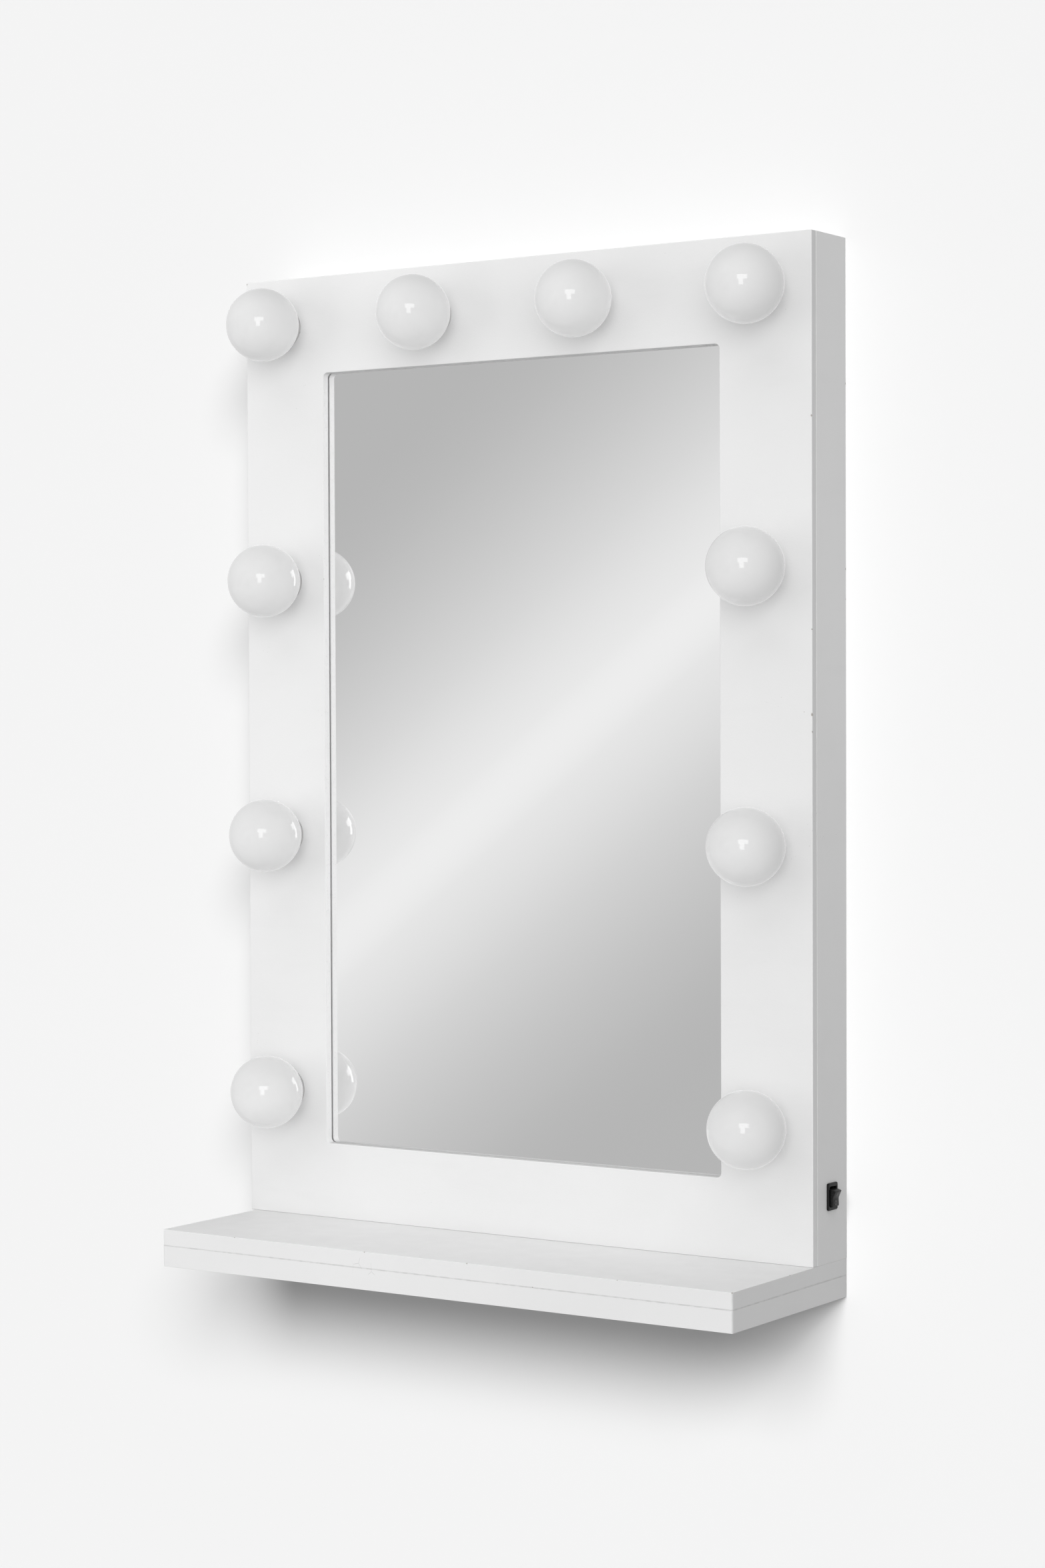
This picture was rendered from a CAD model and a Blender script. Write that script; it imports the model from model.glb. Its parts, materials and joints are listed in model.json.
import json
import math

import bmesh
import bpy
from mathutils import Matrix, Vector

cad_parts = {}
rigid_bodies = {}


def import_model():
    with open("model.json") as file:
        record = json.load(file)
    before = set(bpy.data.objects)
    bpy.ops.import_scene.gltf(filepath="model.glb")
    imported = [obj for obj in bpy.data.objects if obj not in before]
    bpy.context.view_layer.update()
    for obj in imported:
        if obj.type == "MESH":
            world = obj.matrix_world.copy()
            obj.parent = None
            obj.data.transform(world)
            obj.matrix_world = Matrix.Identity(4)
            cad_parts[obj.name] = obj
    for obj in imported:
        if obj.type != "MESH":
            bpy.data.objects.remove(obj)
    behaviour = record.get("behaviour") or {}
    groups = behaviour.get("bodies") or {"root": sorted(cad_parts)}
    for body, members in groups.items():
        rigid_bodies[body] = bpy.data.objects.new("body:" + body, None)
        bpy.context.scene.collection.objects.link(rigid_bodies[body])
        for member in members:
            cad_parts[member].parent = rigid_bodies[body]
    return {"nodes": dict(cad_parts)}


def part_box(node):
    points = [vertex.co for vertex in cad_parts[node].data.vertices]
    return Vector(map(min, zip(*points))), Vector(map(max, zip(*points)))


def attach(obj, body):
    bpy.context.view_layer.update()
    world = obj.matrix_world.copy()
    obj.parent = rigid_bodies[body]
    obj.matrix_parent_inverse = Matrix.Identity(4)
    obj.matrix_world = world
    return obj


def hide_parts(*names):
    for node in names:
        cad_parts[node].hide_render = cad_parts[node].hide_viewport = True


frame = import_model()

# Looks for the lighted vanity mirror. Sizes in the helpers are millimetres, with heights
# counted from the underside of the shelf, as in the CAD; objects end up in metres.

MM = 0.001
BASE_Z, SHELF_JOINT_Z = (corner.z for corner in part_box("shelf_lower_board"))
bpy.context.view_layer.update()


# ---- places taken from the CAD

def cad_box(node):
    """A CAD node's lowest and highest corners, in millimetres from the shelf's underside."""
    lo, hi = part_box(node)
    shift = Vector((0, 0, BASE_Z))
    return (lo - shift) / MM, (hi - shift) / MM


def cad_centre(node):
    lo, hi = cad_box(node)
    return (lo + hi) / 2


LAMPS = range(1, 11)
LAMP_CENTRES = {i: cad_centre(f"lamp_cap_{i}") for i in LAMPS}
PANEL_LO, PANEL_HI = cad_box("front_panel")
GLOBE_LO, GLOBE_HI = cad_box("lamp_globe_1")
SWITCH_CENTRE = cad_centre("switch_housing")
PIVOT_X = 267.0                 # the rocker's pivot
REST_TILT = math.radians(11)    # the rocker's tilt when it is off
LOOM_X, LOOM_Y = 251.75, -30.0  # the loom's distance from the middle, and its depth
GLOBE_RADIUS, NECK_RADIUS, GLASS = 30.0, 14.5, 1.25
CAP_RADIUS, THREAD_PITCH, THREAD_DEPTH = 13.25, 3.62, 0.45

# Chips in the paint: x, y, z and radius.
CASE_CHIPS = [
    (-268.6, -54, 808.9, 0.8), (269, -54, 447, 1.3), (269, -53.6, 434, 0.7),
    (268.8, -54, 671, 0.8), (269, -54, 511, 0.7), (269, -0.2, 699, 0.8), (269, -0.2, 558, 1.0),
    (269, -0.2, 535, 0.7), (262, -54, 449, 0.35), (-213.2, -54, 765, 0.9),
    (-189.3, -54, 560, 0.5),
]
SHELF_CHIPS = [
    (-190, -176, 29.8, 0.45), (-61, -176, 29.8, 0.6), (36, -176, 29.8, 0.6),
    (171, -176, 29.9, 0.5), (268.6, -175.6, 29.9, 0.8), (268.9, -90, 29.8, 0.6),
    (96, -175.9, 17.2, 0.5),
]


# ---- shader helpers

def put(tree, value, socket):
    """Links a value to a socket if a node gives it, and otherwise sets it."""
    if isinstance(value, bpy.types.NodeSocket):
        tree.links.new(value, socket)
    else:
        socket.default_value = value


def add_node(tree, kind, inputs=(), **properties):
    made = tree.nodes.new("ShaderNode" + kind)
    for key, value in properties.items():
        setattr(made, key, value)
    for key, value in dict(inputs).items():
        put(tree, value, made.inputs[key])
    return made


class Paint:
    """A material being made: a Principled BSDF and short names for the nodes that feed it."""

    def __init__(self, name):
        self.material = bpy.data.materials.new(name)
        self.material.use_nodes = True
        self.tree = self.material.node_tree
        self.bsdf = self.tree.nodes["Principled BSDF"]
        self.position = self.node("TexCoord").outputs["Object"]
        self.normal = self.node("NewGeometry").outputs["Normal"]

    def node(self, kind, inputs=(), **properties):
        return add_node(self.tree, kind, inputs, **properties)

    def set(self, **values):
        """Sets inputs of the BSDF, and gives back the material."""
        for key, value in values.items():
            put(self.tree, value, self.bsdf.inputs[key.replace("_", " ")])
        return self.material

    def surface(self, shader):
        put(self.tree, shader, self.tree.nodes["Material Output"].inputs["Surface"])
        return self.material

    def stretch(self, scale, turn=(0, 0, 0)):
        inputs = {"Vector": self.position, "Scale": scale, "Rotation": turn}
        return self.node("Mapping", inputs).outputs["Vector"]

    def noise(self, scale, detail=3, rough=0.5, vector=None):
        inputs = {"Vector": vector or self.position, "Scale": scale, "Detail": detail,
                  "Roughness": rough}
        return self.node("TexNoise", inputs).outputs["Fac"]

    def cells(self, scale, feature="F1", vector=None):
        inputs = {"Vector": vector or self.position, "Scale": scale}
        return self.node("TexVoronoi", inputs, feature=feature).outputs["Distance"]

    def span(self, value, a, b, low=0.0, high=1.0):
        """Maps a value that goes from a to b onto low to high, and holds it there outside."""
        inputs = {"Value": value, "From Min": a, "From Max": b, "To Min": low, "To Max": high}
        return self.node("MapRange", inputs, clamp=True).outputs["Result"]

    def math(self, operation, a, b=0.0):
        return self.node("Math", {0: a, 1: b}, operation=operation).outputs[0]

    def times(self, a, b):
        return self.math("MULTIPLY", a, b)

    def most(self, a, b):
        return self.math("MAXIMUM", a, b)

    def distance(self, value, middle=0.0):
        return self.math("ABSOLUTE", self.math("SUBTRACT", value, middle) if middle else value)

    def axis(self, name, vector=None):
        split = self.node("SeparateXYZ", {"Vector": vector or self.position})
        return split.outputs[name]

    def mix(self, factor, a, b):
        inputs = {"Factor": factor, 6: a, 7: b}
        return self.node("Mix", inputs, data_type="RGBA").outputs[2]

    def bump(self, height, distance, strength=1.0, below=None):
        inputs = {"Height": height, "Distance": distance, "Strength": strength}
        if below is not None:
            inputs["Normal"] = below
        return self.node("Bump", inputs).outputs["Normal"]

    def near(self, point, radius, wobble):
        """1 within about a radius of a point given in CAD millimetres, and 0 outside."""
        centre = Vector(point) * MM + Vector((0, 0, BASE_Z)) + Vector((wobble,) * 3) * MM / 2
        jitter = self.node("TexNoise", {"Vector": self.position, "Scale": 900.0})
        moved = self.node("VectorMath", {
            0: jitter.outputs["Color"], 1: (wobble * MM,) * 3, 2: self.position,
        }, operation="MULTIPLY_ADD")
        apart = self.node("VectorMath", {0: moved.outputs[0], 1: centre},
                          operation="DISTANCE")
        return self.span(apart.outputs["Value"], radius * MM, radius * 0.8 * MM)


def rgb(red, green, blue):
    """A display colour, 0 to 255, as the linear colour that the shader wants."""
    linear = [
        c / 12.92 if c <= 0.04045 else ((c + 0.055) / 1.055) ** 2.4
        for c in (red / 255, green / 255, blue / 255)
    ]
    return (*linear, 1.0)


def grey(level):
    return rgb(level, level, level)


# ---- materials

def rolled_paint(p, shade):
    """The colour of rolled white paint: cloudy, faintly streaked, with a few specks of dirt."""
    streaks = p.noise(9.0, 4, 0.6, p.stretch((1.0, 1.0, 5.0)))
    colour = p.mix(p.span(p.noise(5.0, 3, 0.55), 0.35, 0.7), grey(shade), grey(shade - 4))
    colour = p.mix(p.span(streaks, 0.55, 0.8, 0, 0.35), colour, grey(shade - 7))
    dirt = p.times(p.span(p.cells(210.0), 0.075, 0.045), p.span(p.noise(17.0, 2), 0.62, 0.68))
    return p.mix(p.times(dirt, 0.45), colour, grey(150))


def rubbed_lines(p, corner_x, corner_y, joint_z):
    """Where the paint is rubbed: down one corner and along the joint between two boards."""
    corner = p.times(p.span(p.axis("X"), corner_x - 0.0007, corner_x - 0.0004),
                     p.span(p.axis("Y"), corner_y + 0.0007, corner_y + 0.0004))
    joint = p.span(p.distance(p.axis("Z"), joint_z), 0.0008, 0.0004, 0, 0.3)
    return p.times(p.most(corner, joint), p.span(p.noise(160.0, 3), 0.4, 0.6, 0.35, 0.8))


def opening_rim(p):
    """1 on the sawn faces round the mirror opening, and 0 elsewhere."""
    sideways = p.span(p.distance(p.axis("Y", p.normal)), 0.6, 0.3)
    in_panel = p.span(p.axis("Y"), -0.046, -0.0475)
    return p.times(p.times(sideways, in_panel), p.span(p.distance(p.axis("X")), 0.2, 0.195))


def hairlines(p, place):
    """Fine broken cracks in the paint round a place."""
    lines = p.span(p.cells(75.0, "DISTANCE_TO_EDGE", p.stretch((1.0, 1.0, 0.45))), 0.012, 0.004)
    return p.times(p.times(lines, p.near(place, 16.0, 6.0)), p.span(p.noise(90.0, 2), 0.5, 0.56))


def painted_board(name, shade, chips, cracks=None, opening=False, soiled=None, worn=None):
    """Satin white paint over board, chipped, and with the wear that the keywords ask for."""
    p = Paint(name)
    colour = rolled_paint(p, shade)
    if soiled:
        colour = p.mix(p.span(p.axis("Z"), *soiled), colour, grey(shade - 15))
    if worn:
        colour = p.mix(rubbed_lines(p, *worn), colour, grey(132))
    normal = p.bump(p.noise(30.0, 2, 0.4), 0.0012, 0.05)
    normal = p.bump(p.noise(820.0, 3, 0.55), 0.00018, 0.35, normal)
    if opening:
        rim = opening_rim(p)
        upright = p.distance(p.axis("X", p.normal))
        colour = p.mix(rim, colour, p.mix(upright, grey(205), grey(248)))
        normal = p.bump(p.times(p.noise(650.0, 3, 0.7), rim), 0.0006, 0.6, normal)
        pocks = p.times(p.span(p.cells(420.0), 0.16, 0.1), rim)
        colour = p.mix(p.times(pocks, 0.3), colour, grey(150))
    if cracks:
        colour = p.mix(p.times(hairlines(p, cracks), 0.3), colour, grey(150))
    flaked = 0.0
    for *place, radius in chips:
        flaked = p.most(p.near(place, radius, radius * 0.9), flaked)
    under = p.mix(p.noise(1500.0, 2), rgb(112, 104, 94), rgb(158, 149, 138))
    colour = p.mix(p.times(flaked, 0.65), colour, under)
    normal = p.bump(p.math("SUBTRACT", 1.0, flaked), 0.0004, 0.8, normal)
    p.set(Base_Color=colour, Normal=normal, Specular_IOR_Level=0.35)
    return p.set(Roughness=p.span(p.noise(60.0, 3), 0.3, 0.7, 0.36, 0.5))


def hardboard(name):
    """Brown pressed fibre board with fibre flecks and scuffs."""
    p = Paint(name)
    fibres = p.noise(420.0, 5, 0.7, p.stretch((1.0, 1.0, 0.35)))
    colour = p.mix(p.span(fibres, 0.3, 0.7), rgb(120, 88, 58), rgb(158, 124, 88))
    colour = p.mix(p.span(p.noise(6.0, 4, 0.6), 0.4, 0.75, 0, 0.5), colour, rgb(132, 102, 74))
    scuffs = p.span(p.noise(22.0, 4, 0.7, p.stretch((6.0, 1.0, 0.5), (0, 0.5, 0))), 0.63, 0.72)
    colour = p.mix(p.times(scuffs, 0.4), colour, rgb(186, 160, 128))
    p.set(Base_Color=colour, Roughness=p.span(fibres, 0.3, 0.7, 0.62, 0.85))
    return p.set(Normal=p.bump(fibres, 0.0003, 0.5))


def bare_pine(name, along):
    """Planed pine with growth rings stretched along one axis, a little oil and pencil-grey dirt."""
    p = Paint(name)
    scale = {"X": (0.06, 1.0, 1.0), "Z": (1.0, 1.0, 0.05)}[along]
    drift = p.node("TexNoise",
                   {"Vector": p.stretch(scale), "Scale": 26.0, "Detail": 2.0}).outputs["Color"]
    rings = {"Vector": drift, "Scale": 8.0, "Distortion": 2.5, "Detail": 3.0}
    grain = p.node("TexWave", rings, wave_type="BANDS").outputs["Fac"]
    colour = p.mix(p.span(grain, 0.2, 0.9), rgb(226, 192, 142), rgb(196, 150, 98))
    pores = p.noise(900.0, 3, 0.6, p.stretch(scale))
    colour = p.mix(p.span(pores, 0.58, 0.7, 0, 0.35), colour, rgb(160, 116, 72))
    colour = p.mix(p.span(p.noise(11.0, 3), 0.55, 0.8, 0, 0.3), colour, rgb(176, 146, 108))
    p.set(Base_Color=colour, Roughness=p.span(grain, 0.0, 1.0, 0.5, 0.68))
    return p.set(Normal=p.bump(pores, 0.0002, 0.5, p.bump(grain, 0.0002, 0.3)))


def metal(name, bright, dark, rough, scratch=0.15, spots=None):
    """A plated or turned metal: fine scratches, cloudy tarnish and sometimes rust spots."""
    p = Paint(name)
    cloud = p.noise(70.0, 4, 0.6)
    colour = p.mix(p.span(cloud, 0.35, 0.7), bright, dark)
    lines = p.noise(240.0, 3, 0.7, p.stretch((1.0, 7.0, 0.8), (0.3, 0.2, 0.9)))
    roughness = p.span(cloud, 0.3, 0.7, rough - 0.07, rough + 0.1)
    metallic = 1.0
    if spots is not None:
        rust = p.span(p.noise(330.0, 4, 0.65), 0.64, 0.7)
        colour = p.mix(rust, colour, spots)
        roughness = p.mix(rust, roughness, grey(225))
        metallic = p.span(rust, 0.0, 1.0, 1.0, 0.2)
    p.set(Base_Color=colour, Metallic=metallic, Roughness=roughness)
    return p.set(Normal=p.bump(lines, 0.00006, scratch))


def silvering(name):
    """The mirror's reflecting face: almost perfect, with a breath of dust."""
    p = Paint(name)
    haze = p.span(p.noise(4.0, 4, 0.6), 0.45, 0.8, 0.012, 0.03)
    dust = p.times(p.span(p.cells(95.0), 0.04, 0.02), p.span(p.noise(9.0, 2), 0.62, 0.7))
    p.set(Base_Color=p.mix(p.times(dust, 0.25), grey(251), grey(206)))
    return p.set(Metallic=1.0, Roughness=p.most(haze, p.times(dust, 0.35)))


def glass_edge(name):
    """The ground green edge of the sheet."""
    p = Paint(name)
    colour = p.mix(p.noise(260.0, 3), rgb(70, 108, 96), rgb(112, 150, 138))
    p.set(Base_Color=colour, Roughness=p.span(p.noise(500.0, 2), 0.3, 0.7, 0.25, 0.45))
    return p.set(Normal=p.bump(p.noise(900.0, 2), 0.00008, 0.3))


def mirror_back(name):
    """Grey protective lacquer on the back of the glass."""
    p = Paint(name)
    p.set(Base_Color=p.mix(p.noise(14.0, 4), grey(92), grey(116)))
    p.set(Roughness=p.span(p.noise(120.0, 3), 0.3, 0.7, 0.4, 0.6))
    return p.set(Normal=p.bump(p.noise(600.0, 2), 0.0001, 0.2))


def opal_glass(name, shade):
    """Glossy white glass with a slightly uneven flashing and a few dust grains."""
    p = Paint(name)
    flashing = p.noise(38.0, 3, 0.5)
    colour = p.mix(p.span(flashing, 0.35, 0.7), grey(shade), grey(shade - 4))
    dust = p.times(p.span(p.cells(420.0), 0.06, 0.03), p.span(p.noise(60.0), 0.6, 0.66))
    colour = p.mix(p.times(dust, 0.3), colour, grey(178))
    p.set(Base_Color=colour, Roughness=p.span(p.noise(90.0, 3), 0.35, 0.75, 0.02, 0.05))
    return p.set(Specular_IOR_Level=0.5, Emission_Color=grey(255), Emission_Strength=0.2)


def glazed_porcelain(name):
    """White glaze over porcelain, with pinholes and a faint grey tint in places."""
    p = Paint(name)
    colour = p.mix(p.span(p.noise(45.0, 4), 0.4, 0.75), rgb(238, 236, 229), rgb(214, 211, 202))
    pits = p.times(p.span(p.cells(500.0), 0.1, 0.05), p.span(p.noise(80.0), 0.6, 0.65))
    colour = p.mix(p.times(pits, 0.6), colour, rgb(120, 110, 98))
    p.set(Base_Color=colour, Roughness=p.span(p.noise(110.0, 3), 0.3, 0.7, 0.16, 0.3))
    return p.set(Normal=p.bump(p.noise(130.0, 2), 0.0002, 0.2))


def plastic(name, light, dark, rough, grain=0.25, shine=0.5):
    """Moulded plastic or rubber with a fine spark-eroded grain and a few shiny rubs."""
    p = Paint(name)
    p.set(Specular_IOR_Level=shine)
    rubs = p.span(p.noise(120.0, 4, 0.6), 0.5, 0.75)
    p.set(Base_Color=p.mix(p.span(p.noise(60.0, 3), 0.35, 0.7), dark, light))
    p.set(Roughness=p.span(rubs, 0.0, 1.0, rough, rough - 0.12))
    return p.set(Normal=p.bump(p.noise(3200.0, 2, 0.5), 0.00004, grain))


def build_materials():
    soiled_low = (BASE_Z + 0.45, BASE_Z + 0.04)
    shelf_wear = (0.269, -0.176, SHELF_JOINT_Z)
    return {
        "panel": painted_board("painted_wood_front", 226, CASE_CHIPS, opening=True),
        "sides": painted_board("painted_wood_sides", 240, CASE_CHIPS, soiled=soiled_low),
        "shelf": painted_board("painted_wood_shelf", 224, SHELF_CHIPS, (-60, -176, 22),
                               worn=shelf_wear),
        "hardboard": hardboard("hardboard_brown"),
        "pine_x": bare_pine("bare_pine_rail", "X"),
        "pine_z": bare_pine("bare_pine_batten", "Z"),
        "steel": metal("plated_steel", grey(205), grey(168), 0.3, 0.25, rgb(120, 76, 44)),
        "nickel": metal("nickel_cap_metal", rgb(214, 210, 200), rgb(176, 170, 158), 0.26),
        "brass": metal("brass_metal", rgb(206, 172, 92), rgb(158, 120, 60), 0.3),
        "silver": silvering("mirror_silver"),
        "glass_edge": glass_edge("mirror_edge"),
        "mirror_back": mirror_back("mirror_backing_paint"),
        "opal": opal_glass("opal_glass_white", 203),
        "insulator": plastic("cap_insulator", grey(36), grey(22), 0.35),
        "porcelain": glazed_porcelain("porcelain_glaze"),
        "black": plastic("black_plastic_moulding", grey(20), grey(13), 0.36, 0.25, 0.25),
        "mark": plastic("printed_mark", grey(132), grey(112), 0.5),
        "rubber": plastic("black_rubber_soft", grey(42), grey(30), 0.75, 0.5),
        "nylon": plastic("nylon_natural", rgb(228, 225, 214), rgb(212, 208, 196), 0.42),
        "sheath": plastic("cable_sheath_black", grey(48), grey(34), 0.5),
        "brown_wire": plastic("wire_brown", rgb(112, 66, 38), rgb(92, 52, 30), 0.4),
        "blue_wire": plastic("wire_blue", rgb(52, 84, 160), rgb(40, 66, 132), 0.4),
    }


# ---- geometry helpers

AXES = {
    "front": Matrix(((1, 0, 0, 0), (0, 0, -1, 0), (0, 1, 0, 0), (0, 0, 0, 1))),
    "plan": Matrix.Identity(4),
    "side": Matrix(((0, 0, 1, 0), (1, 0, 0, 0), (0, 1, 0, 0), (0, 0, 0, 1))),
}


def arc(x, y, radius, start, end, steps):
    turn = [math.radians(start + (end - start) * i / steps) for i in range(steps + 1)]
    return [Vector((x + radius * math.cos(a), y + radius * math.sin(a))) for a in turn]


def circle(x, y, radius, sides):
    return arc(x, y, radius, 0, 360, sides)[:-1]


def rounded(x0, x1, y0, y1, radius, steps=4):
    return (
        arc(x1 - radius, y1 - radius, radius, 0, 90, steps)
        + arc(x0 + radius, y1 - radius, radius, 90, 180, steps)
        + arc(x0 + radius, y0 + radius, radius, 180, 270, steps)
        + arc(x1 - radius, y0 + radius, radius, 270, 360, steps)
    )


def refine(loop, step):
    """The loop with extra points so that no edge is much longer than the step."""
    out = []
    for i, point in enumerate(loop):
        following = loop[(i + 1) % len(loop)]
        count = max(1, round((following - point).length / step))
        out += [point.lerp(following, k / count) for k in range(count)]
    return out


def inset(loop, distance):
    """The loop moved to its left by a distance, with mitred corners."""
    out = []
    for i, point in enumerate(loop):
        before = (point - loop[i - 1]).normalized()
        after = (loop[(i + 1) % len(loop)] - point).normalized()
        left = Vector((-before.y - after.y, before.x + after.x))
        out.append(point + left * (distance / (1 + before.dot(after))))
    return out


def slab(bm, outline, holes, low, high, edge, steps=3):
    """Adds a board between two levels, with all its rims rounded to the edge radius."""
    rings = [(edge * (1 - math.sin(a)), low + edge * (1 - math.cos(a))) for a in
             [math.pi / 2 * i / steps for i in range(steps + 1)]]
    rings += [(offset, high + low - level) for offset, level in reversed(rings)]
    caps = {0: [], len(rings) - 1: []}
    for loop in [outline] + [list(reversed(h)) for h in holes]:
        levels = []
        for offset, level in rings:
            points = inset(loop, offset) if offset > 1e-9 else loop
            levels.append([bm.verts.new((p.x, p.y, level)) for p in points])
        for lower, upper in zip(levels, levels[1:]):
            for i in range(len(loop)):
                j = (i + 1) % len(loop)
                face = bm.faces.new((lower[i], lower[j], upper[j], upper[i]))
                face.smooth = True
        for which in caps:
            ring = levels[which]
            caps[which] += [bm.edges.get((ring[i], ring[i - 1])) for i in range(len(ring))]
    for which, edges in caps.items():
        filled = bmesh.ops.triangle_fill(bm, use_beauty=True, edges=edges)
        for face in filled["geom"]:
            if isinstance(face, bmesh.types.BMFace):
                face.smooth = False
    bmesh.ops.recalc_face_normals(bm, faces=bm.faces)


def lathe(bm, profile, sides, smooth=True, material_index=0):
    """Adds a turned solid about the local Z axis. The profile holds (radius, z) pairs."""
    rings = []
    for radius, level in profile:
        turns = [2 * math.pi * k / sides for k in range(sides)] if radius > 1e-6 else [0]
        rings.append([bm.verts.new((radius * math.cos(a), radius * math.sin(a), level))
                      for a in turns])
    for a, b in zip(rings, rings[1:]):
        for k in range(sides):
            j = (k + 1) % sides
            corners = [a[k % len(a)], a[j % len(a)], b[j % len(b)], b[k % len(b)]]
            unique = list(dict.fromkeys(corners))
            if len(unique) > 2:
                face = bm.faces.new(unique)
                face.smooth, face.material_index = smooth, material_index
    bmesh.ops.recalc_face_normals(bm, faces=bm.faces)


def into_scene(name, data):
    made = bpy.data.objects.new(name, data)
    bpy.context.scene.collection.objects.link(made)
    return made


def finish_piece(bm, name, materials, body, replaces=(), matrix=None, sharp=None):
    """Turns a bmesh in CAD millimetres into an object that rides on a body."""
    if matrix is not None:
        bm.transform(matrix)
    mesh = bpy.data.meshes.new(name)
    bm.to_mesh(mesh)
    bm.free()
    mesh.transform(Matrix.Translation((0, 0, BASE_Z)) @ Matrix.Scale(MM, 4))
    if sharp:
        mesh.set_sharp_from_angle(angle=math.radians(sharp))
    for material in materials if isinstance(materials, list) else [materials]:
        mesh.materials.append(material)
    piece = into_scene(name, mesh)
    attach(piece, body)
    if replaces:
        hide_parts(*replaces)
    return piece


def along(direction, origin):
    """Carries the local Z axis to a direction, from an origin in CAD millimetres."""
    turn = Vector(direction).to_track_quat("Z", "Y").to_matrix().to_4x4()
    return Matrix.Translation(origin) @ turn


def round_path(points, radius, steps=6):
    """A poly-line with its corners replaced by arcs."""
    out = [Vector(points[0])]
    for a, b, c in zip(points, points[1:], points[2:]):
        a, b, c = Vector(a), Vector(b), Vector(c)
        reach = min(radius, (a - b).length * 0.49, (c - b).length * 0.49)
        start, end = b + (a - b).normalized() * reach, b + (c - b).normalized() * reach
        for i in range(steps + 1):
            t = i / steps
            out.append(start * (1 - t) ** 2 + b * 2 * t * (1 - t) + end * t ** 2)
    return out + [Vector(points[-1])]


def join_rings(bm, rings):
    """Joins rings of as many points each into a smooth skin."""
    for a, b in zip(rings, rings[1:]):
        for k in range(len(a)):
            bm.faces.new((a[k - 1], a[k], b[k], b[k - 1])).smooth = True


def tube(name, points, radius, material, sides, bend, body="case",
         replaces=()):
    """A round wire or rod along a path."""
    path = round_path(points, bend)
    bm = bmesh.new()
    rings = []
    across = Vector((0, 0, 1))
    for i, point in enumerate(path):
        ahead = (path[min(i + 1, len(path) - 1)] - path[max(i - 1, 0)]).normalized()
        across = across - ahead * across.dot(ahead)
        if across.length < 0.05:
            across = ahead.orthogonal()
        across.normalize()
        other = ahead.cross(across)
        rings.append([
            bm.verts.new(point + (across * math.cos(a) + other * math.sin(a)) * radius)
            for a in [2 * math.pi * k / sides for k in range(sides)]
        ])
    join_rings(bm, rings)
    bm.faces.new(rings[0])
    bm.faces.new(rings[-1])
    bmesh.ops.recalc_face_normals(bm, faces=bm.faces)
    finish_piece(bm, name, material, body, replaces)


def wire(name, points, colour, mats, bend=4.0):
    tube(name, points, 0.8, mats[colour + "_wire"], 8, bend)


def keep_cad(node, material, edge):
    """Keeps a CAD node as it is, with a finer material and lightly rounded edges."""
    piece = frame["nodes"][node]
    piece.data.materials.clear()
    piece.data.materials.append(material)
    bevel = piece.modifiers.new("rounded_edges", "BEVEL")
    bevel.width = edge * MM
    bevel.segments = 2
    bevel.limit_method = "ANGLE"
    bevel.angle_limit = math.radians(40)
    bevel.harden_normals = True


# ---- case

def board(bm, name, material, node, facing):
    """A painted board of the case, whose broad faces stay flat up to their rounded edges."""
    piece = finish_piece(bm, name, material, "case", [node], AXES[facing])
    modifier = piece.modifiers.new("flat_faces", "WEIGHTED_NORMAL")
    modifier.weight = 100
    modifier.keep_sharp = True


def front_panel(mats):
    """The panel with the mirror opening and a hole behind each lamp."""
    holes = [refine(rounded(-189, 189, 92, 730, 4, 6), 8)]
    holes += [circle(c.x, c.z, 16, 48) for c in LAMP_CENTRES.values()]
    outline = refine(rounded(PANEL_LO.x, PANEL_HI.x, PANEL_LO.z, PANEL_HI.z, 0.7, 3), 8)
    bm = bmesh.new()
    slab(bm, outline, holes, -PANEL_HI.y, -PANEL_LO.y, 0.55)
    board(bm, "front_board", mats["panel"], "front_panel", "front")


def switch_outline(half_y, half_z, radius, steps):
    """A rounded rectangle round the switch's middle, seen from the side."""
    y, z = SWITCH_CENTRE.y, SWITCH_CENTRE.z
    return rounded(y - half_y, y + half_y, z - half_z, z + half_z, radius, steps)


def side_panel(node, holes, mats):
    lo, hi = cad_box(node)
    bm = bmesh.new()
    slab(bm, refine(rounded(lo.y, hi.y, lo.z, hi.z, 0.5, 3), 10), holes, lo.x, hi.x, 0.25)
    board(bm, node + "_board", mats["sides"], node, "side")


def top_panel(mats):
    lo, hi = cad_box("top_panel")
    bm = bmesh.new()
    slab(bm, refine(rounded(lo.x, hi.x, lo.y, hi.y, 0.4, 2), 12), [], lo.z, hi.z, 0.4)
    board(bm, "top_board", mats["sides"], "top_panel", "plan")


def shelf_board(node, holes, mats):
    """One of the two shelf boards, with the cable groove in its rear edge."""
    lo, hi = cad_box(node)
    outline = (
        arc(hi.x - 0.8, hi.y - 0.8, 0.8, 0, 90, 3)
        + [Vector((186, hi.y)), Vector((186, -9)), Vector((174, -9)), Vector((174, hi.y))]
        + arc(lo.x + 0.8, hi.y - 0.8, 0.8, 90, 180, 3)
        + arc(lo.x + 1.2, lo.y + 1.2, 1.2, 180, 270, 5)
        + arc(hi.x - 1.6, lo.y + 1.6, 1.6, 270, 360, 5)
    )
    bm = bmesh.new()
    slab(bm, refine(outline, 8), holes, lo.z, hi.z, 0.25)
    board(bm, node + "_piece", mats["shelf"], node, "plan")


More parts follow.
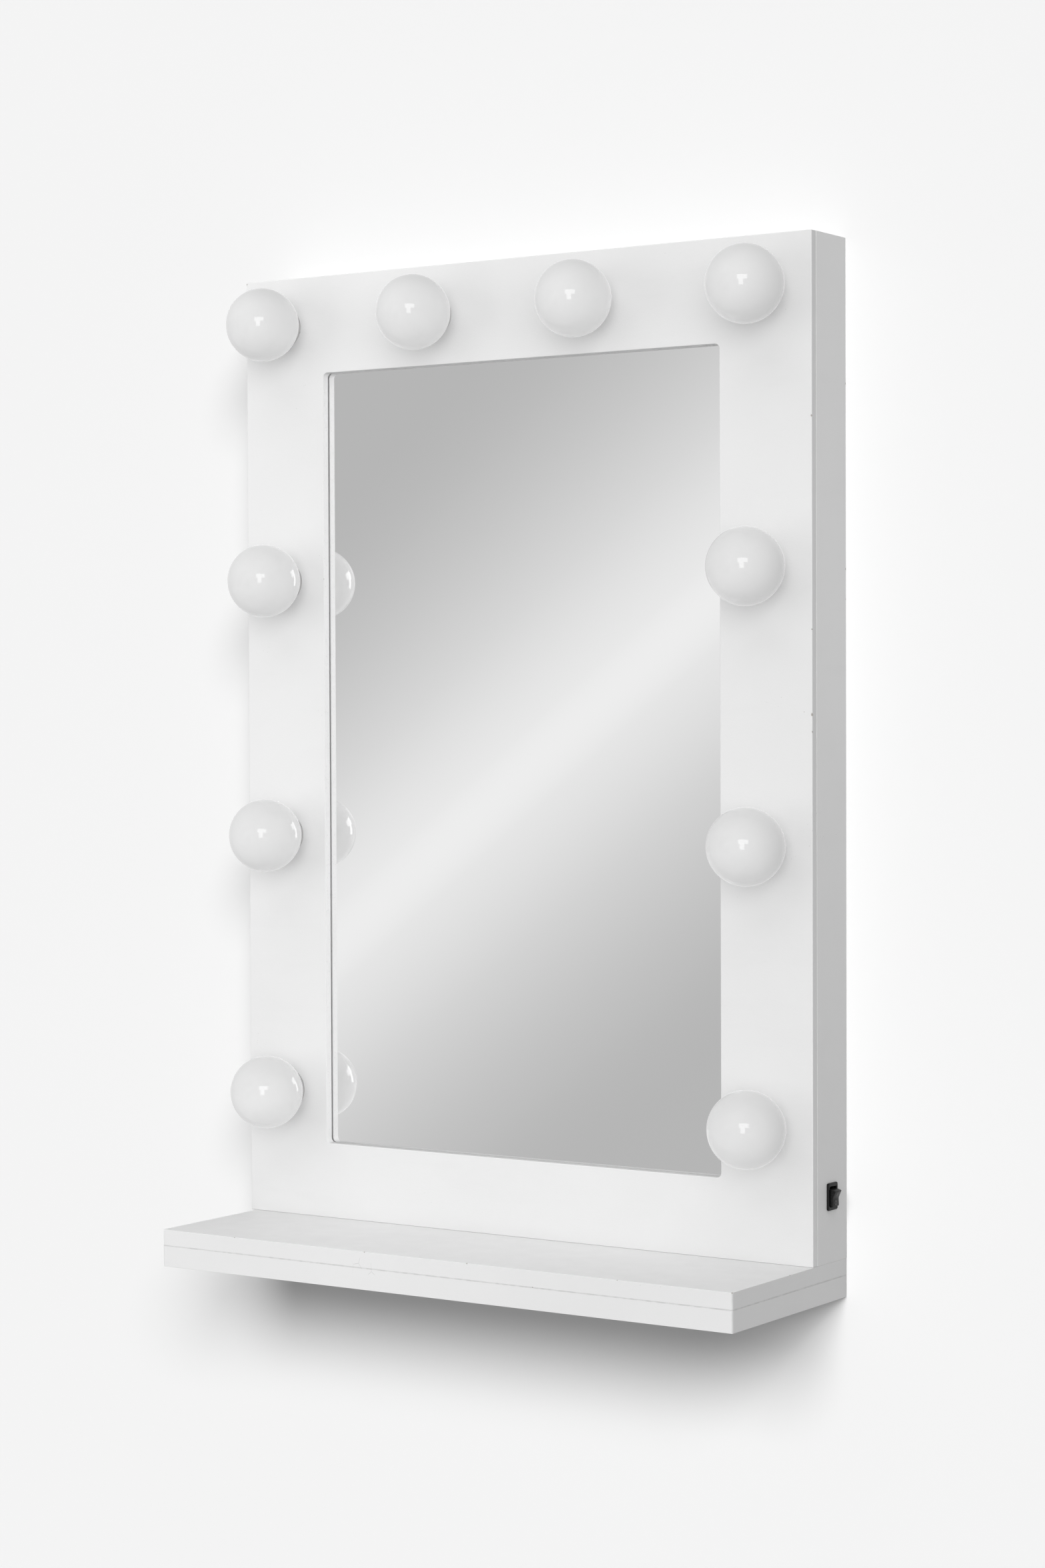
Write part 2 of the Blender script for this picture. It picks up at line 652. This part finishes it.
def screw_profile(radius, shank, length, flat):
    """(radius, height) of a pointed wood screw. Height 0 is under a domed head or on a flat one."""
    neck = -radius * 0.7 if flat else 0.0
    profile = [(0, -length), (shank * 0.25, -length + 0.4), (shank * 0.8, -length + 2.2)]
    for i in range(max(int((length + neck - 3.5) / 1.1), 0)):
        z = -length + 2.4 + i * 1.1
        profile += [(shank, z), (shank * 0.72, z + 0.45), (shank * 0.72, z + 0.65)]
    profile += [(shank, neck - 0.8), (shank, neck)]
    if flat:
        return profile + [(radius, -0.15), (radius * 0.97, 0), (0, 0)]
    dome = [(0.96, 0), (1, 0.14), (0.9, 0.3), (0.66, 0.44), (0.34, 0.495), (0, 0.5)]
    return profile + [(radius * out, radius * up) for out, up in dome]


def cross_recess(bm, radius, flat):
    """Lays the driver's recess on the head, in the second material."""
    arm, half = radius * 0.55, radius * 0.11
    head = 0.0 if flat else radius * 0.5
    floor, rim = [], []
    for turn in range(4):
        for x, y in ((half, half), (arm, half), (arm, -half)):
            x, y = ((x, y), (y, -x), (-x, -y), (-y, x))[turn]
            inner = abs(x) + abs(y) < arm
            floor.append(bm.verts.new((x, y, head - radius * (0.3 if inner else 0.12))))
            lift = 0.02 if flat else radius * (0.006 if inner else -0.035)
            rim.append(bm.verts.new((x, y, head + lift)))
    faces = [bm.faces.new(floor), bm.faces.new(rim)]
    for i in range(len(rim)):
        faces.append(bm.faces.new((floor[i - 1], floor[i], rim[i], rim[i - 1])))
    for face in faces:
        face.material_index = 1
    bmesh.ops.recalc_face_normals(bm, faces=faces)


def screw(name, place, direction, radius, mats, length, material="steel", replaces=(),
          shank=1.5, flat=False):
    """A cross-head screw with a domed or a countersunk head that points in a direction."""
    bm = bmesh.new()
    lathe(bm, screw_profile(radius, shank, length, flat), 24)
    cross_recess(bm, radius, flat)
    finish_piece(bm, name, [mats[material], mats["insulator"]], "case", replaces,
                 along(direction, place), sharp=40)


SHELF_SCREWS = [(x, y) for x in (-259.5, 259.5) for y in (-14, -34)]
SHELF_SCREWS += [(-120, -50.5), (120, -50.5)]


def shelf(mats):
    """Both boards and the countersunk screws that come up through the lower one."""
    holes = [circle(x, y, 3.2, 24) for x, y in SHELF_SCREWS]
    shelf_board("shelf_lower_board", holes, mats)
    shelf_board("shelf_upper_board", [], mats)
    for number, (x, y) in enumerate(SHELF_SCREWS, 1):
        screw(f"shelf_screw_{number}", (x, y, 0.7), (0, 0, -1), 3.1, mats, length=42, flat=True)


def hanger_plate(side, mats):
    """A keyhole plate with two countersunk screws, flush in the rail's rear face."""
    lo, hi = cad_box("hanger_plate_" + side)
    x, z = (lo.x + hi.x) / 2, (lo.z + hi.z) / 2
    entry, slot, run = 4.5, 2.25, 4.0
    shoulder = math.degrees(math.acos(slot / entry))
    keyhole = (arc(x, z - run, entry, 180 - shoulder, 360 + shoulder, 20)
               + arc(x, z + run, slot, 0, 180, 8))
    screws = [x - 17, x + 17]
    bm = bmesh.new()
    slab(bm, rounded(lo.x, hi.x, lo.z, hi.z, 2, 4),
         [keyhole] + [circle(at, z, 2.7, 20) for at in screws], -hi.y, -lo.y, 0.2, 2)
    finish_piece(bm, f"keyhole_plate_{side}", mats["steel"], "case",
                 ["hanger_plate_" + side], AXES["front"])
    for letter, at in zip("ab", screws):
        screw(f"keyhole_plate_{side}_screw_{letter}", (at, hi.y - 0.15, z), (0, 1, 0), 2.6, mats,
              length=9, shank=1.2, flat=True)


# ---- mirror

def mirror_sheet(mats):
    """The glass sheet. Its silver lies as far behind the panel as it seems to in the reveal."""
    lo, hi = cad_box("mirror_glass")
    reveal = 0.8
    bm = bmesh.new()
    slab(bm, rounded(lo.x, hi.x, lo.z, hi.z, 0.8, 2), [], -hi.y, -PANEL_HI.y - reveal, 0.15, 1)
    for face in bm.faces:
        face.smooth = False
        tilt = face.normal.z
        face.material_index = 0 if tilt > 0.99 else 2 if tilt < -0.99 else 1
    sides = [mats["silver"], mats["glass_edge"], mats["mirror_back"]]
    finish_piece(bm, "mirror_sheet", sides, "case", ["mirror_glass"], AXES["front"])


# ---- lamps

def globe_profile():
    """(radius, distance behind the globe's centre) of the outer and inner skin."""
    rim = GLOBE_HI.y - (GLOBE_LO.y + GLOBE_RADIUS)
    fillet = 4.0
    reach = NECK_RADIUS + fillet
    depth = math.sqrt((GLOBE_RADIUS + fillet) ** 2 - reach ** 2)
    meet = math.atan2(reach, depth)
    outer = [(0.0, -GLOBE_RADIUS)]
    for a in [(math.pi - meet) * i / 40 for i in range(1, 41)]:
        outer.append((GLOBE_RADIUS * math.sin(a), -GLOBE_RADIUS * math.cos(a)))
    for a in [meet + (math.pi / 2 - meet) * i / 6 for i in range(1, 7)]:
        outer.append((reach - fillet * math.sin(a), depth - fillet * math.cos(a)))
    outer += [(NECK_RADIUS, rim - 0.4), (NECK_RADIUS - 0.3, rim)]
    hollow, bore = GLOBE_RADIUS - GLASS, NECK_RADIUS - GLASS
    inner = [(bore, rim), (bore, depth)]
    for a in [(math.pi - math.asin(bore / hollow)) * i / 16 for i in range(16, 0, -1)]:
        inner.append((hollow * math.sin(a), -hollow * math.cos(a)))
    return outer + inner + [(0.0, -hollow)]


def lamp_globe(index, mats):
    centre = LAMP_CENTRES[index]
    bm = bmesh.new()
    lathe(bm, globe_profile(), 72)
    place = Vector((centre.x, GLOBE_LO.y + GLOBE_RADIUS, centre.z))
    finish_piece(bm, f"lamp_{index}_globe", mats["opal"], f"lamp_{index}",
                 [f"lamp_globe_{index}"], along((0, 1, 0), place), sharp=60)


def thread(bm, length, sides=40, steps=46):
    """The cap's rolled thread, which fades out at both ends."""
    rows = []
    for z in [length * i / steps for i in range(steps + 1)]:
        fade = min(1, max(0, (z - 2.2) / 1.2)) * min(1, max(0, (length - 0.2 - z) / 1.2))
        row = []
        for a in [2 * math.pi * k / sides for k in range(sides)]:
            crest = 0.5 + 0.5 * math.cos(2 * math.pi * z / THREAD_PITCH - a)
            r = CAP_RADIUS - THREAD_DEPTH * fade * (1 - crest)
            row.append(bm.verts.new((r * math.cos(a), r * math.sin(a), z)))
        rows.append(row)
    join_rings(bm, rows)


def lamp_cap(index, mats):
    """The threaded cap with its black insulator ring and the soldered centre contact."""
    lo, hi = cad_box(f"lamp_cap_{index}")
    centre = LAMP_CENTRES[index]
    length = hi.y - lo.y
    bm = bmesh.new()
    thread(bm, length - 9)
    lathe(bm, [(CAP_RADIUS, 0), (12.25, 0), (12.25, length - 9.5), (8, length - 6.2),
               (0, length - 6.2)], 40)
    tail = [(CAP_RADIUS, 9), (12.6, 7.6), (9.6, 4.6), (9, 4)]
    insulator = [(9, 4), (8.6, 3.2), (5.2, 1.3), (4.6, 0.9)]
    solder = [(4.6, 0.9), (4.2, 0.5), (2.6, 0.1), (0, 0)]
    for number, profile in enumerate((tail, insulator, solder)):
        lathe(bm, [(radius, length - up) for radius, up in profile], 40, True, number)
    bmesh.ops.remove_doubles(bm, verts=bm.verts, dist=0.001)
    place = Vector((centre.x, lo.y, centre.z))
    finish_piece(bm, f"lamp_{index}_cap", [mats["nickel"], mats["insulator"], mats["brass"]],
                 f"lamp_{index}", [f"lamp_cap_{index}"],
                 along((0, 1, 0), place), sharp=50)


def lampholder(index, mats):
    """The porcelain socket, its threaded shell and centre contact, and its screws and wires."""
    lo, hi = cad_box(f"lampholder_{index}")
    c = LAMP_CENTRES[index]
    depth = hi.y - lo.y
    floor = depth - 7.5
    bore = 14.25
    matrix = along((0, 1, 0), (c.x, lo.y, c.z))
    bm = bmesh.new()
    lathe(bm, [(0, floor), (bore - 0.4, floor), (bore, floor + 0.4), (bore, 0.6),
               (bore + 0.6, 0), (20.4, 0), (21, 0.5), (21, 2.5), (20.4, 3), (18.3, 3), (18, 3.5),
               (18, depth - 1.4), (17.6, depth - 0.5), (16.6, depth), (0, depth)], 56)
    finish_piece(bm, f"lampholder_{index}_porcelain", mats["porcelain"], "case",
                 [f"lampholder_{index}"], matrix, sharp=50)
    bm = bmesh.new()
    lathe(bm, [(14.2, 2.2), (14.2, depth - 8), (13.7, depth - 8), (13.7, 2.2), (14.2, 2.2)], 40)
    lathe(bm, [(0, floor - 0.5), (2.4, floor - 0.4), (3.6, floor + 0.2), (0, floor + 0.2)], 24)
    finish_piece(bm, f"lampholder_{index}_contacts", mats["brass"], "case", (), matrix,
                 sharp=50)
    across = 0 if abs(c.x) > 150 else 1
    for letter, side in zip("ab", (-1, 1)):
        fixing = (c.x + across * side * 19.6, lo.y + 3, c.z + (1 - across) * side * 19.6)
        screw(f"lampholder_{index}_fixing_screw_{letter}", fixing, (0, 1, 0), 1.3, mats,
              length=7.5, shank=0.9)
        terminal = (c.x + side * 7.5, hi.y, c.z)
        screw(f"lampholder_{index}_wire_screw_{letter}", terminal, (0, 1, 0), 2.6, mats,
              length=3.0, material="brass", shank=1.2)
        branch_wire(index, side, hi.y, mats)


def branch_wire(index, side, rear_y, mats):
    """One insulated wire from the loom round the edge of a lampholder to its screw."""
    c = LAMP_CENTRES[index]
    screw_x = c.x + side * 7.5
    colour = "brown" if side > 0 else "blue"
    clear_y = rear_y + 2.3
    if abs(c.x) < 150:
        start = (c.x + side * 12, LOOM_Y + 1.5, 790.5)
        path = [start, (c.x + side * 11, rear_y - 6, 789.2), (screw_x, clear_y, c.z + 17),
                (screw_x, clear_y, c.z + 7)]
        end = (screw_x, rear_y + 0.9, c.z + 3)
    else:
        out = math.copysign(1, c.x)
        up = -1 if c.z > 700 else 1
        spread = 3 if side * out > 0 else 0
        start = (out * (LOOM_X - 1.8), LOOM_Y, c.z + up * (27 - spread))
        path = [start, (out * (LOOM_X - 7), LOOM_Y + 1, c.z + up * (24 - spread)),
                (screw_x, rear_y - 8, c.z + up * 20), (screw_x, clear_y, c.z + up * 16),
                (screw_x, clear_y, c.z + up * 7)]
        end = (screw_x, rear_y + 0.9, c.z + up * 3)
    wire(f"lampholder_{index}_{colour}_wire", path + [end], colour, mats, 5.0)


# ---- switch

def switch_housing(mats):
    """Bezel ring, hollow body and floor, moulded in one."""
    lo, hi = cad_box("switch_housing")
    panel_face = 269.0
    well = [switch_outline(5.25, 7.5, 0.5, 3)]
    bm = bmesh.new()
    slab(bm, switch_outline(7.5, 10.5, 1.6, 5), well, panel_face, hi.x, 0.75, 4)
    slab(bm, switch_outline(6.5, 9.5, 0.8, 3), well, lo.x, panel_face, 0.2, 1)
    slab(bm, switch_outline(5.3, 7.6, 0.4, 2), [], lo.x, lo.x + 2, 0.1, 1)
    finish_piece(bm, "switch_case", mats["black"], "case",
                 ["switch_housing"], AXES["side"], sharp=55)


def rocker_face(height):
    """How far the rocker's face reaches out of its pivot: a valley between two raised ends."""
    t = height / 5.75
    softness = 0.008
    rise = math.sqrt(t * t + softness) - math.sqrt(softness)
    return 6.25 + 1.25 * rise / (math.sqrt(1 + softness) - math.sqrt(softness))


def rocker_outline():
    """The rocker's outline in (reach out of the pivot, height), before its rest tilt."""
    side = [(7.4, 6.0), (7.0, 6.2), (3.0, 6.6), (0.5, 6.1), (-1.5, 4.75), (-1.9, 2.3), (-2.5, 2),
            (-7, 2)]
    face = [(rocker_face(h), h) for h in [5.75 * (i / 8 - 1) for i in range(17)]]
    return [Vector(point) for point in face + side + [(x, -h) for x, h in reversed(side)]]


def rocker_mark(bm, name, height, tilt, mats):
    """Lays a flat mark on the rocker's face."""
    slope = math.atan(rocker_face(height + 0.5) - rocker_face(height - 0.5))
    spot = (Matrix.Translation((rocker_face(height) + 0.01, 0, height))
            @ Matrix.Rotation(math.pi / 2 + slope, 4, "Y"))
    finish_piece(bm, name, mats["mark"], "rocker", (), tilt @ spot)


def plunger(tilt, mats):
    """The sprung pin in the rocker's stem that tips the contact lever over."""
    bm = bmesh.new()
    lathe(bm, [(0, 5), (0.9, 5), (0.9, 10.6), (1.7, 10.7), (1.7, 11.4), (0.9, 11.5), (0.9, 12.4),
               (0.6, 12.9), (0, 13.1)], 20)
    inwards = tilt @ along((-1, 0, 0), (0, 0, 0))
    finish_piece(bm, "rocker_plunger", mats["nylon"], "rocker", (), inwards, sharp=50)
    turns, steps = 6, 14
    coil = []
    for i in range(turns * steps + 1):
        a = 2 * math.pi * i / steps
        local = Vector((1.3 * math.cos(a), 1.3 * math.sin(a), 7.15 + 3.35 * i / (turns * steps)))
        coil.append(inwards @ local)
    tube("rocker_spring", coil, 0.17, mats["steel"], 6, 0.2, "rocker")


def rocker(mats):
    y, z = SWITCH_CENTRE.y, SWITCH_CENTRE.z
    bm = bmesh.new()
    slab(bm, rocker_outline(), [], -4.95, 4.95, 0.4, 3)
    tilt = Matrix.Translation((PIVOT_X, y, z)) @ Matrix.Rotation(REST_TILT, 4, "Y")
    finish_piece(bm, "rocker_body", mats["black"], "rocker", ["switch_rocker"],
                 tilt @ AXES["front"], sharp=40)
    bm = bmesh.new()
    lathe(bm, [(0, -6.2), (1.3, -6.2), (1.5, -6), (1.5, 6), (1.3, 6.2), (0, 6.2)], 20)
    finish_piece(bm, "rocker_pins", mats["black"], "rocker", (),
                 tilt @ along((0, 1, 0), (0, 0, 0)), sharp=50)
    bm = bmesh.new()
    lathe(bm, [(1.25, 0), (1.25, 0.06), (1.6, 0.06), (1.6, 0), (1.25, 0)], 32, False)
    rocker_mark(bm, "rocker_mark_off", -3.35, tilt, mats)
    bm = bmesh.new()
    slab(bm, rounded(-1.5, 1.5, -0.18, 0.18, 0.1, 2), [], 0, 0.08, 0.02, 1)
    rocker_mark(bm, "rocker_mark_on", 3.35, tilt, mats)
    plunger(tilt, mats)


# ---- wiring

def loom(mats):
    """The sheathed loom: from the terminal block, past the switch and round the lampholders."""
    climb = []
    for i in range(9):
        share = i / 8
        ease = share * share * (3 - 2 * share)
        climb.append((232 + (LOOM_X - 232) * ease, LOOM_Y, 93 + 29 * share))
    path = [(202, LOOM_Y, 38), (232, LOOM_Y, 38)] + climb + [
        (LOOM_X, LOOM_Y, 792.5), (-LOOM_X, LOOM_Y, 792.5), (-LOOM_X, LOOM_Y, 112)]
    tube("loom_sheath", path, 2.5, mats["sheath"], 16, 6.0, replaces=["wiring_loom"])


def grommet(mats):
    lo, hi = cad_box("cable_grommet")
    depth = hi.y - lo.y
    bm = bmesh.new()
    lathe(bm, [(4, 0.5), (4.5, 0), (8.4, 0), (9, 0.6), (9, 1.5), (8.6, 2), (6, 2), (6, depth - 2),
               (8.6, depth - 2), (9, depth - 1.5), (9, depth - 0.6), (8.4, depth),
               (4.5, depth), (4, depth - 0.5), (4, 0.5)], 48)
    middle = cad_centre("cable_grommet")
    finish_piece(bm, "grommet", mats["rubber"], "case", ["cable_grommet"],
                 along((0, 1, 0), (middle.x, lo.y, middle.z)), sharp=50)


def terminal_block_wiring(mats):
    """Pole screws, and the two wires that run from the loom's end into the block."""
    lo, hi = cad_box("terminal_block")
    middle = (lo + hi) / 2
    for number, x in enumerate((middle.x - 10, middle.x, middle.x + 10), 1):
        screw(f"terminal_block_screw_{number}", (x, middle.y, hi.z - 1.6), (0, 0, 1), 1.5, mats,
              length=4, shank=1.0, flat=True)
    for colour, x, level in (("brown", middle.x + 10, 1), ("blue", middle.x, -1)):
        path = [(204, LOOM_Y - 1, 38 + level), (199, LOOM_Y - 4, 38 + level),
                (x + 6, lo.y - 5 + level, 37 + level), (x, lo.y - 4, 37), (x, lo.y + 4, 37)]
        wire(f"terminal_block_{colour}_wire", path, colour, mats)


def switch_wiring(mats):
    """Insulated push-on connectors on both tabs and their wires from the loom."""
    for node, start in (("common", 90), ("live", 62)):
        lo, hi = cad_box("switch_terminal_" + node)
        y, z = (lo.y + hi.y) / 2, (lo.z + hi.z) / 2
        bm = bmesh.new()
        slab(bm, rounded(y - 3.1, y + 3.1, z - 1.3, z + 1.3, 0.9, 4), [], 236.5, 247.5, 0.3, 2)
        finish_piece(bm, f"switch_{node}_connector", mats["nylon"], "case", (),
                     AXES["side"])
        path = [(232, LOOM_Y, start), (233, y - 1.5, (start + z) / 2), (233.5, y, z), (237.5, y, z)]
        wire(f"switch_{node}_wire", path, "brown", mats, 3.0)


# ---- stage, light, camera

def stage_material(name, level, glow):
    """Plain matt pale surface that can't be seen from behind."""
    p = Paint(name)
    p.set(Base_Color=p.mix(p.noise(2.0, 2), grey(level), grey(level - 1)), Roughness=0.95)
    p.set(Specular_IOR_Level=0.0, Emission_Color=grey(255), Emission_Strength=glow)
    back = p.node("NewGeometry").outputs["Backfacing"]
    clear = p.node("BsdfTransparent").outputs[0]
    mixed = p.node("MixShader", {0: back, 1: p.bsdf.outputs[0], 2: clear})
    return p.surface(mixed.outputs[0])


def stage_plane(name, corners, material, unseen=()):
    """A plane outside the part, which the listed kinds of ray pass by."""
    mesh = bpy.data.meshes.new(name)
    mesh.from_pydata(corners, [], [tuple(range(4))])
    mesh.materials.append(material)
    plane = into_scene(name, mesh)
    for ray in unseen:
        setattr(plane, "visible_" + ray, False)
    return plane


def build_stage():
    """The wall behind the object and the floor under it."""
    side, front, low, high = 9, -12, -1.7, 7
    stage_plane("floor", [(-side, front, low), (side, front, low), (side, 0, low), (-side, 0, low)],
                stage_material("floor_paint", 240, 0.22), ["diffuse"])
    return stage_plane("wall", [(-side, 0, low), (side, 0, low), (side, 0, high), (-side, 0, high)],
                       stage_material("wall_paint", 205, 0.11), ["shadow", "diffuse", "glossy"])


def reflected_card():
    """A card out of view that the mirror shows: grey with a pale diagonal band."""
    p = Paint("card_light")
    slant = math.radians(127.25)
    across = p.times(p.axis("X"), math.cos(slant))
    level = p.times(p.axis("Z"), math.sin(slant))
    place = p.span(p.math("ADD", across, level), 0.42, 2.02)
    ramp = p.node("ValToRGB", {"Fac": place})
    ramp.color_ramp.interpolation = "B_SPLINE"
    stops = [(0.0, 0.477), (0.12, 0.507), (0.3, 0.675), (0.44, 0.835), (0.49, 0.895), (0.54, 0.86),
             (0.68, 0.705), (0.86, 0.525), (1.0, 0.477)]
    elements = ramp.color_ramp.elements
    while len(elements) < len(stops):
        elements.new(0.5)
    for element, (at, value) in zip(elements, stops):
        element.position = at
        element.color = (value, value, value, 1)
    glow = p.node("Emission", {"Color": ramp.outputs["Color"], "Strength": 1.0})
    stage_plane("card", [(-5.2, -4, -3), (-0.9, -4, -3), (-0.9, -4, 2), (-5.2, -4, 2)],
                p.surface(glow.outputs[0]), ["camera", "diffuse", "shadow", "transmission"])


def direction(azimuth, elevation):
    """The way to a place seen from the object: degrees from the front towards +X, and up."""
    a, e = math.radians(azimuth), math.radians(elevation)
    return Vector((math.sin(a) * math.cos(e), -math.cos(a) * math.cos(e), math.sin(e)))


def add_light(name, kind, backwards, place=(0, 0, 0), **settings):
    """A light that shines away from the backwards direction."""
    data = bpy.data.lights.new(name, kind)
    for key, value in settings.items():
        setattr(data, key, value)
    light = into_scene(name, data)
    light.location = place
    light.rotation_mode = "QUATERNION"
    light.rotation_quaternion = backwards.to_track_quat("Z", "Y")
    return light


def sun(name, azimuth, elevation, strength, spread):
    return add_light(name, "SUN", direction(azimuth, elevation), energy=strength,
                     angle=math.radians(spread))


def softbox(name, place, target, width, height, power):
    return add_light(name, "AREA", Vector(place) - Vector(target), place, shape="RECTANGLE",
                     size=width, size_y=height, energy=power)


def window_pane(name, azimuth, elevation, width, height, power):
    """A far window that only shows as a highlight in glossy surfaces."""
    middle, distance = Vector((0, -0.08, -0.38)), 5.0
    place = middle + direction(azimuth, elevation) * distance
    softbox(name, place, middle, width, height, power).visible_diffuse = False


def link_light(light, state, *objects):
    """Keeps a light off some objects (EXCLUDE), or on them alone (INCLUDE)."""
    group = bpy.data.collections.new(light.name + "_" + state.lower())
    for item in objects:
        group.objects.link(item)
    light.light_linking.receiver_collection = group
    for member in group.collection_objects:
        member.light_linking.link_state = state


def build_light(wall):
    """A broad soft key beside the camera, light from above and the left, and a weak one behind."""
    key = sun("key", 35, 5, 1.46, 50)
    top = sun("top_light", 0, 70, 0.95, 70)
    front = sun("front_fill", 0, 12, 1.2, 160)
    fill = softbox("left_fill", (-1.5, -1.3, -0.1), (0.1, 0, -0.3), 1.2, 1.6, 7.7)
    wall_keys = [sun("wall_key_left", 12, 24, 2.1, 22), sun("wall_key_right", 36, 22, 2.1, 22)]
    rear = sun("rear_fill", 180, 4, 1.3, 6)
    for light in (key, top, front, fill, rear, *wall_keys):
        light.visible_glossy = False
    for light in (key, front, fill):
        link_light(light, "EXCLUDE", wall)
    globes = [bpy.data.objects[f"lamp_{i}_globe"] for i in LAMPS]
    link_light(top, "EXCLUDE", wall, *globes)
    for light in wall_keys:
        link_light(light, "INCLUDE", wall)
    window_pane("window_upper", 25, 16.5, 2.5, 1.1, 30)
    window_pane("window_lower", 22, 2.3, 1.15, 1.4, 18)


def build_world():
    """Even surroundings: dim for the light they give, bright to the camera and in a shine."""
    world = bpy.data.worlds.new("studio")
    world.use_nodes = True
    tree = world.node_tree
    ray = add_node(tree, "LightPath").outputs
    shine = add_node(tree, "Math", {0: ray["Is Glossy Ray"], 1: 0.75},
                     operation="MULTIPLY")
    seen = add_node(tree, "Math", {0: ray["Is Camera Ray"], 1: shine.outputs[0]},
                    operation="MAXIMUM")
    level = add_node(tree, "MapRange",
                     {"Value": seen.outputs[0], "To Min": 0.21, "To Max": 0.88})
    background = tree.nodes["Background"].inputs
    background["Color"].default_value = (1, 1, 1, 1)
    put(tree, level.outputs["Result"], background["Strength"])
    bpy.context.scene.world = world
    bpy.context.scene.view_settings.view_transform = "Standard"


def build_camera():
    """The photograph's view: from the right, a little above the middle, looking slightly down."""
    data = bpy.data.cameras.new("camera")
    data.lens = 74.56
    data.sensor_width = 36
    camera = into_scene("camera", data)
    turn = Matrix.Rotation(math.radians(33.61), 4, "Z")
    pitch = Matrix.Rotation(math.radians(90 - 1.3686), 4, "X")
    roll = Matrix.Rotation(math.radians(-0.216), 4, "Z")
    place = Matrix.Translation((1.4371, -2.2049, BASE_Z + 0.454))
    camera.matrix_world = place @ turn @ pitch @ roll
    bpy.context.scene.camera = camera


# ---- the rest of the CAD nodes

def case_hardware(mats):
    keep_cad("back_panel", mats["hardboard"], 0.3)
    keep_cad("mirror_backing_board", mats["hardboard"], 0.3)
    keep_cad("hanging_rail", mats["pine_x"], 0.4)
    for side in ("left", "right"):
        keep_cad("back_batten_" + side, mats["pine_z"], 0.4)
        hanger_plate(side, mats)
    for i in range(1, 5):
        keep_cad(f"mirror_clip_{i}", mats["steel"], 0.25)
        lo, hi = cad_box(f"mirror_clip_{i}")
        foot = math.copysign(211, lo.x)
        screw(f"mirror_clip_screw_{i}", (foot, PANEL_HI.y + 1.5, (lo.z + hi.z) / 2), (0, 1, 0),
              2.6, mats, length=7, shank=1.2)
        lo, hi = cad_box(f"back_panel_screw_{i}")
        middle = (lo + hi) / 2
        screw(f"back_screw_{i}", (middle.x, hi.y - 1.75, middle.z), (0, 1, 0), 3.5, mats,
              length=11.0, replaces=[f"back_panel_screw_{i}"])
    for node in ("contact_lever", "terminal_common", "terminal_live"):
        keep_cad("switch_" + node, mats["brass"], 0.1)
    keep_cad("terminal_block", mats["nylon"], 0.4)


# ---- everything together

def build():
    mats = build_materials()
    front_panel(mats)
    side_panel("side_panel_left", [], mats)
    side_panel("side_panel_right", [switch_outline(6.75, 9.75, 0.5, 2)], mats)
    top_panel(mats)
    shelf(mats)
    mirror_sheet(mats)
    for index in LAMPS:
        lamp_globe(index, mats)
        lamp_cap(index, mats)
        lampholder(index, mats)
    switch_housing(mats)
    rocker(mats)
    case_hardware(mats)
    loom(mats)
    grommet(mats)
    terminal_block_wiring(mats)
    switch_wiring(mats)
    wall = build_stage()
    reflected_card()
    build_light(wall)
    build_world()
    build_camera()


build()
